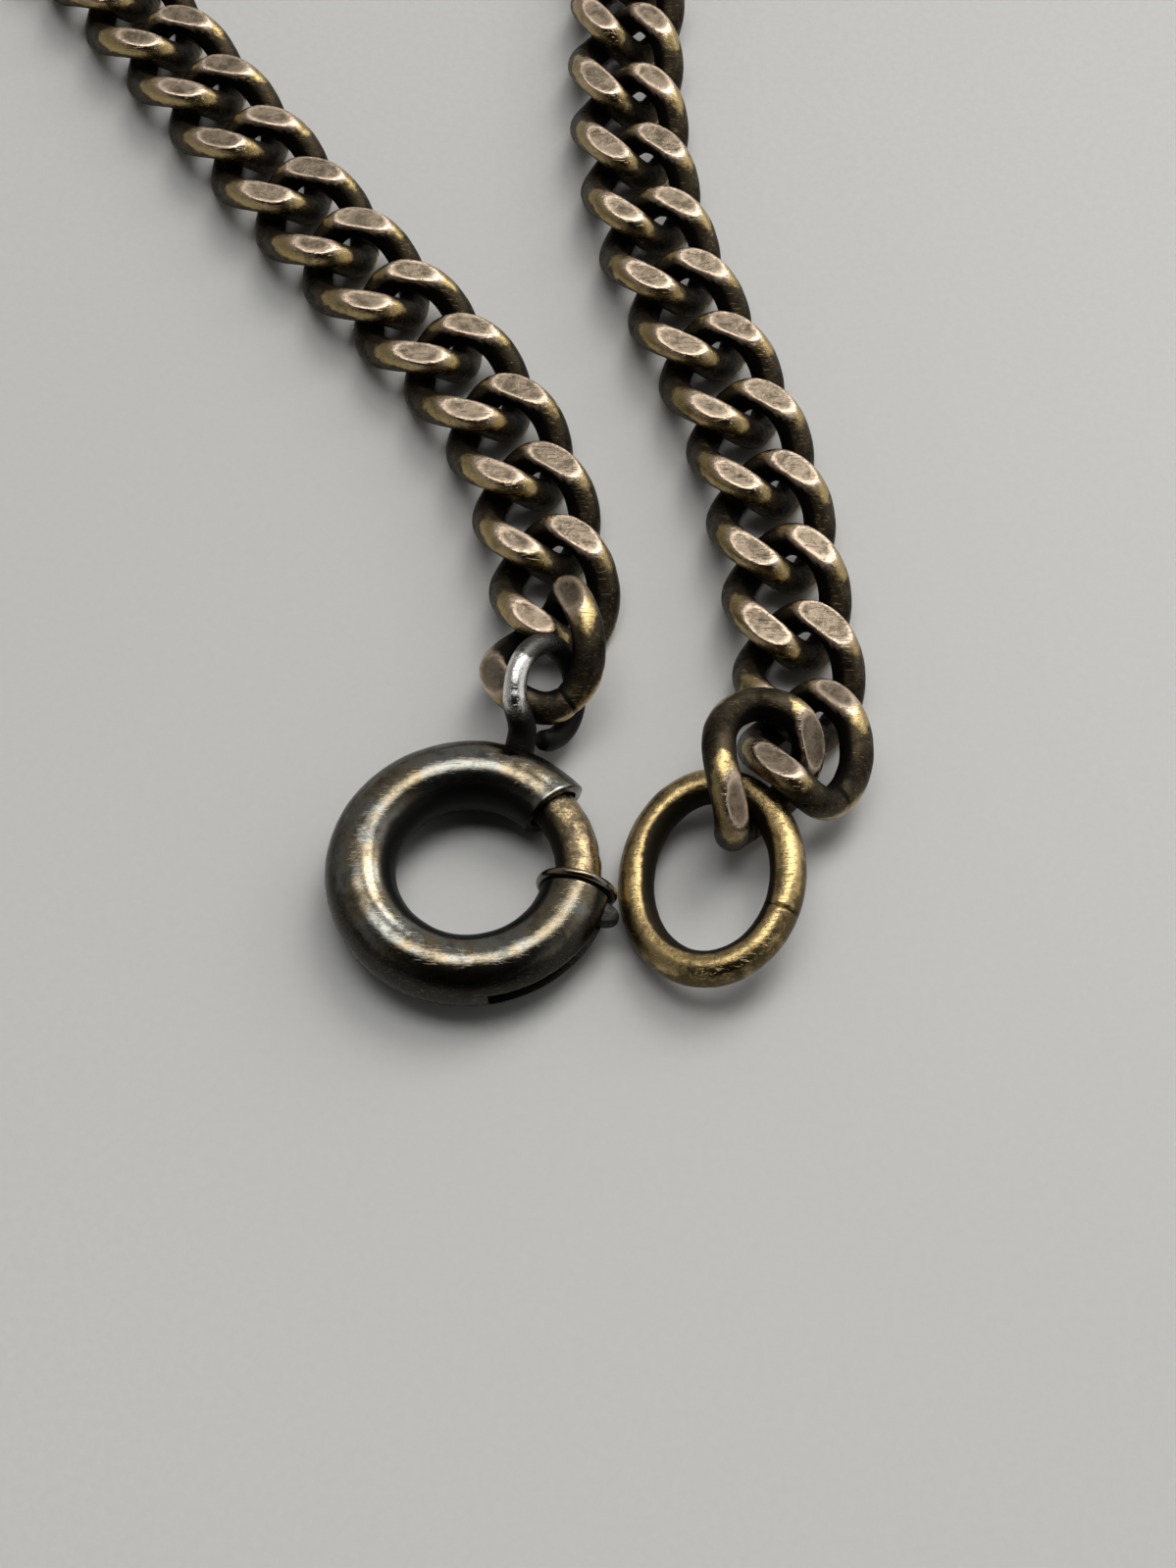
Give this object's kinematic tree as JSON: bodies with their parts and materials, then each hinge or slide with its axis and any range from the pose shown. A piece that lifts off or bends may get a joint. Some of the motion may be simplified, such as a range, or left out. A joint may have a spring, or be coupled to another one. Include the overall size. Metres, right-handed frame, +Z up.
{
  "type": "watch chain",
  "caption": "Curb-link watch chain, its links twisted and ground flat, with a sprung bolt ring at one end and a cut oval ring at the other.",
  "frame": {"origin": "centre of the chain's bounding box in plan, on the plane that its ground links lie on", "axes": "+Y runs from the two ends towards the bend of the laid-out loop, its longest extent; +Z is up, away from the surface it lies on; +X completes the frame, from the bolt ring's run to the end ring's run"},
  "size_m": [0.0588, 0.118, 0.0064],
  "materials": {
    "aged_brass": "aged and darkened in the recesses, worn bright on the ground faces",
    "end_ring_brass": "worn, scratched",
    "worn_nickel": "nickel plating worn through to the brass on the high spots",
    "bolt_brass": "worn plating",
    "eye_silver": "polished by wear",
    "spring_steel": "bare steel"
  },
  "bodies": {
    "link_01": {"link_01": "aged_brass"},
    "link_02": {"link_02": "aged_brass"},
    "link_03": {"link_03": "aged_brass"},
    "link_04": {"link_04": "aged_brass"},
    "link_05": {"link_05": "aged_brass"},
    "link_06": {"link_06": "aged_brass"},
    "link_07": {"link_07": "aged_brass"},
    "link_08": {"link_08": "aged_brass"},
    "link_09": {"link_09": "aged_brass"},
    "link_10": {"link_10": "aged_brass"},
    "link_11": {"link_11": "aged_brass"},
    "link_12": {"link_12": "aged_brass"},
    "link_13": {"link_13": "aged_brass"},
    "link_14": {"link_14": "aged_brass"},
    "link_15": {"link_15": "aged_brass"},
    "link_16": {"link_16": "aged_brass"},
    "link_17": {"link_17": "aged_brass"},
    "link_18": {"link_18": "aged_brass"},
    "link_19": {"link_19": "aged_brass"},
    "link_20": {"link_20": "aged_brass"},
    "link_21": {"link_21": "aged_brass"},
    "link_22": {"link_22": "aged_brass"},
    "link_23": {"link_23": "aged_brass"},
    "link_24": {"link_24": "aged_brass"},
    "link_25": {"link_25": "aged_brass"},
    "link_26": {"link_26": "aged_brass"},
    "link_27": {"link_27": "aged_brass"},
    "link_28": {"link_28": "aged_brass"},
    "link_29": {"link_29": "aged_brass"},
    "link_30": {"link_30": "aged_brass"},
    "link_31": {"link_31": "aged_brass"},
    "link_32": {"link_32": "aged_brass"},
    "link_33": {"link_33": "aged_brass"},
    "link_34": {"link_34": "aged_brass"},
    "link_35": {"link_35": "aged_brass"},
    "link_36": {"link_36": "aged_brass"},
    "link_37": {"link_37": "aged_brass"},
    "link_38": {"link_38": "aged_brass"},
    "link_39": {"link_39": "aged_brass"},
    "link_40": {"link_40": "aged_brass"},
    "link_41": {"link_41": "aged_brass"},
    "link_42": {"link_42": "aged_brass"},
    "link_43": {"link_43": "aged_brass"},
    "link_44": {"link_44": "aged_brass"},
    "link_45": {"link_45": "aged_brass"},
    "link_46": {"link_46": "aged_brass"},
    "link_47": {"link_47": "aged_brass"},
    "link_48": {"link_48": "aged_brass"},
    "bolt_ring": {"bolt_ring_tube": "worn_nickel", "thrust_collar": "worn_nickel", "spring_stop": "spring_steel", "attachment_eye": "eye_silver", "closing_spring": "spring_steel"},
    "end_ring_body": {"end_ring": "end_ring_brass"},
    "bolt_and_lug": {"bolt": "bolt_brass", "thumb_lug": "worn_nickel"}
  },
  "joints": [
    {"name": "bolt_slide_round", "type": "hinge", "parent": "bolt_ring", "child": "bolt_and_lug", "pos_m": [0.00813, -0.05148, 0.00215], "axis": [0, 0, 1], "range_deg": [-55, 0], "stiffness_Nm_per_rad": 0.006, "springref_deg": 45.84, "deforming": ["closing_spring"]},
    {"name": "bolt_ring_swing", "type": "hinge", "parent": "link_01", "child": "bolt_ring", "pos_m": [0.01025, -0.04164, 0.00345], "axis": [0.7746, -0.6232, -0.1079], "range_deg": [-70, 2]},
    {"name": "end_ring_swing", "type": "hinge", "parent": "link_48", "child": "end_ring_body", "pos_m": [0.0231, -0.04771, 0.00296], "axis": [-0.6682, 0.7166, -0.2001], "range_deg": [-100, 4]},
    {"name": "link_48_turn", "type": "hinge", "parent": "link_47", "child": "link_48", "pos_m": [0.02441, -0.0454, 0.00319], "axis": [0, 0, 1], "range_deg": [0, 7]},
    {"name": "link_47_nod", "type": "hinge", "parent": "link_46", "child": "link_47", "pos_m": [0.02576, -0.042, 0.00222], "axis": [0.369, 0.9294, 0], "range_deg": [-12, 4]},
    {"name": "link_01_nod", "type": "hinge", "parent": "link_02", "child": "link_01", "pos_m": [0.01226, -0.03625, 0.00236], "axis": [-0.9995, 0.0326, 0], "range_deg": [-25, 8]},
    {"name": "link_02_turn", "type": "hinge", "parent": "link_03", "child": "link_02", "pos_m": [0.01191, -0.03141, 0.0017], "axis": [0, 0, -1], "range_deg": [0, 20]},
    {"name": "link_03_nod", "type": "hinge", "parent": "link_04", "child": "link_03", "pos_m": [0.0106, -0.02655, 0.0017], "axis": [0.9466, 0.3224, 0], "range_deg": [-25, 25]},
    {"name": "link_23_nod", "type": "hinge", "parent": "link_24", "child": "link_23", "pos_m": [-0.00856, 0.05487, 0.0017], "axis": [0.2116, -0.9774, 0], "range_deg": [-25, 25]},
    {"name": "link_22_turn", "type": "hinge", "parent": "link_23", "child": "link_22", "pos_m": [-0.0133, 0.05327, 0.0017], "axis": [0, 0, -1], "range_deg": [0, 20]},
    {"name": "link_21_nod", "type": "hinge", "parent": "link_22", "child": "link_21", "pos_m": [-0.01755, 0.05063, 0.0017], "axis": [-0.6231, 0.7821, 0], "range_deg": [-25, 25]},
    {"name": "link_20_turn", "type": "hinge", "parent": "link_21", "child": "link_20", "pos_m": [-0.02107, 0.04708, 0.0017], "axis": [0, 0, -1], "range_deg": [0, 20]},
    {"name": "link_19_nod", "type": "hinge", "parent": "link_20", "child": "link_19", "pos_m": [-0.02368, 0.04282, 0.0017], "axis": [0.9056, -0.4241, 0], "range_deg": [-25, 25]},
    {"name": "link_18_turn", "type": "hinge", "parent": "link_19", "child": "link_18", "pos_m": [-0.02528, 0.03808, 0.0017], "axis": [0, 0, -1], "range_deg": [0, 20]},
    {"name": "link_17_nod", "type": "hinge", "parent": "link_18", "child": "link_17", "pos_m": [-0.02569, 0.03311, 0.0017], "axis": [-0.9991, -0.0431, 0], "range_deg": [-25, 25]},
    {"name": "link_16_turn", "type": "hinge", "parent": "link_17", "child": "link_16", "pos_m": [-0.02488, 0.02817, 0.0017], "axis": [0, 0, -1], "range_deg": [0, 20]},
    {"name": "link_15_nod", "type": "hinge", "parent": "link_16", "child": "link_15", "pos_m": [-0.0231, 0.02348, 0.0017], "axis": [0.9068, 0.4216, 0], "range_deg": [-25, 25]},
    {"name": "link_14_turn", "type": "hinge", "parent": "link_15", "child": "link_14", "pos_m": [-0.02074, 0.01903, 0.0017], "axis": [0, 0, -1], "range_deg": [0, 20]},
    {"name": "link_13_nod", "type": "hinge", "parent": "link_14", "child": "link_13", "pos_m": [-0.01806, 0.01476, 0.0017], "axis": [-0.8345, -0.5511, 0], "range_deg": [-25, 25]},
    {"name": "link_12_turn", "type": "hinge", "parent": "link_13", "child": "link_12", "pos_m": [-0.01521, 0.01059, 0.0017], "axis": [0, 0, -1], "range_deg": [0, 20]},
    {"name": "link_11_nod", "type": "hinge", "parent": "link_12", "child": "link_11", "pos_m": [-0.01228, 0.00649, 0.0017], "axis": [0.8115, 0.5844, 0], "range_deg": [-25, 25]},
    {"name": "link_10_turn", "type": "hinge", "parent": "link_11", "child": "link_10", "pos_m": [-0.00934, 0.00239, 0.0017], "axis": [0, 0, -1], "range_deg": [0, 20]},
    {"name": "link_09_nod", "type": "hinge", "parent": "link_10", "child": "link_09", "pos_m": [-0.00643, -0.00174, 0.0017], "axis": [-0.8181, -0.575, 0], "range_deg": [-25, 25]},
    {"name": "link_08_turn", "type": "hinge", "parent": "link_09", "child": "link_08", "pos_m": [-0.00351, -0.00585, 0.0017], "axis": [0, 0, -1], "range_deg": [0, 20]},
    {"name": "link_07_nod", "type": "hinge", "parent": "link_08", "child": "link_07", "pos_m": [-0.00049, -0.00989, 0.0017], "axis": [0.789, 0.6144, 0], "range_deg": [-25, 25]},
    {"name": "link_06_turn", "type": "hinge", "parent": "link_07", "child": "link_06", "pos_m": [0.00267, -0.01382, 0.0017], "axis": [0, 0, -1], "range_deg": [0, 20]},
    {"name": "link_05_nod", "type": "hinge", "parent": "link_06", "child": "link_05", "pos_m": [0.0058, -0.01777, 0.0017], "axis": [-0.8005, -0.5993, 0], "range_deg": [-25, 25]},
    {"name": "link_04_turn", "type": "hinge", "parent": "link_05", "child": "link_04", "pos_m": [0.00857, -0.02197, 0.0017], "axis": [0, 0, -1], "range_deg": [0, 20]},
    {"name": "link_25_nod", "type": "hinge", "parent": "link_24", "child": "link_25", "pos_m": [-0.00358, 0.05537, 0.0017], "axis": [0.0129, 0.9999, 0], "range_deg": [-25, 25]},
    {"name": "link_26_turn", "type": "hinge", "parent": "link_25", "child": "link_26", "pos_m": [0.00138, 0.05475, 0.0017], "axis": [0, 0, 1], "range_deg": [0, 20]},
    {"name": "link_27_nod", "type": "hinge", "parent": "link_26", "child": "link_27", "pos_m": [0.00608, 0.05304, 0.0017], "axis": [-0.4461, -0.895, 0], "range_deg": [-25, 25]},
    {"name": "link_28_turn", "type": "hinge", "parent": "link_27", "child": "link_28", "pos_m": [0.01025, 0.05028, 0.0017], "axis": [0, 0, 1], "range_deg": [0, 20]},
    {"name": "link_29_nod", "type": "hinge", "parent": "link_28", "child": "link_29", "pos_m": [0.01359, 0.04658, 0.0017], "axis": [0.8213, 0.5704, 0], "range_deg": [-25, 25]},
    {"name": "link_30_turn", "type": "hinge", "parent": "link_29", "child": "link_30", "pos_m": [0.01596, 0.04217, 0.0017], "axis": [0, 0, 1], "range_deg": [0, 20]},
    {"name": "link_31_nod", "type": "hinge", "parent": "link_30", "child": "link_31", "pos_m": [0.01743, 0.03737, 0.0017], "axis": [-0.977, -0.2132, 0], "range_deg": [-25, 25]},
    {"name": "link_32_turn", "type": "hinge", "parent": "link_31", "child": "link_32", "pos_m": [0.01814, 0.03239, 0.0017], "axis": [0, 0, 1], "range_deg": [0, 20]},
    {"name": "link_33_nod", "type": "hinge", "parent": "link_32", "child": "link_33", "pos_m": [0.01823, 0.02736, 0.0017], "axis": [0.9995, -0.0318, 0], "range_deg": [-25, 25]},
    {"name": "link_34_turn", "type": "hinge", "parent": "link_33", "child": "link_34", "pos_m": [0.0179, 0.02233, 0.0017], "axis": [0, 0, 1], "range_deg": [0, 20]},
    {"name": "link_35_nod", "type": "hinge", "parent": "link_34", "child": "link_35", "pos_m": [0.01741, 0.01731, 0.0017], "axis": [-0.9952, 0.0983, 0], "range_deg": [-25, 25]},
    {"name": "link_36_turn", "type": "hinge", "parent": "link_35", "child": "link_36", "pos_m": [0.01697, 0.01228, 0.0017], "axis": [0, 0, 1], "range_deg": [0, 20]},
    {"name": "link_37_nod", "type": "hinge", "parent": "link_36", "child": "link_37", "pos_m": [0.0167, 0.00725, 0.0017], "axis": [0.9996, -0.0271, 0], "range_deg": [-25, 25]},
    {"name": "link_38_turn", "type": "hinge", "parent": "link_37", "child": "link_38", "pos_m": [0.01673, 0.00221, 0.0017], "axis": [0, 0, 1], "range_deg": [0, 20]},
    {"name": "link_39_nod", "type": "hinge", "parent": "link_38", "child": "link_39", "pos_m": [0.01714, -0.00282, 0.0017], "axis": [-0.992, -0.1263, 0], "range_deg": [-25, 25]},
    {"name": "link_40_turn", "type": "hinge", "parent": "link_39", "child": "link_40", "pos_m": [0.01803, -0.00777, 0.0017], "axis": [0, 0, 1], "range_deg": [0, 20]},
    {"name": "link_41_nod", "type": "hinge", "parent": "link_40", "child": "link_41", "pos_m": [0.01943, -0.01261, 0.0017], "axis": [0.9476, 0.3193, 0], "range_deg": [-25, 25]},
    {"name": "link_42_turn", "type": "hinge", "parent": "link_41", "child": "link_42", "pos_m": [0.02115, -0.01735, 0.0017], "axis": [0, 0, 1], "range_deg": [0, 20]},
    {"name": "link_43_nod", "type": "hinge", "parent": "link_42", "child": "link_43", "pos_m": [0.0228, -0.02212, 0.0017], "axis": [-0.9553, -0.2958, 0], "range_deg": [-25, 25]},
    {"name": "link_44_turn", "type": "hinge", "parent": "link_43", "child": "link_44", "pos_m": [0.02407, -0.02699, 0.0017], "axis": [0, 0, 1], "range_deg": [0, 20]},
    {"name": "link_45_nod", "type": "hinge", "parent": "link_44", "child": "link_45", "pos_m": [0.02491, -0.03196, 0.0017], "axis": [0.9908, 0.135, 0], "range_deg": [-25, 25]},
    {"name": "link_46_turn", "type": "hinge", "parent": "link_45", "child": "link_46", "pos_m": [0.02549, -0.03697, 0.0017], "axis": [0, 0, 1], "range_deg": [0, 20]}
  ]
}
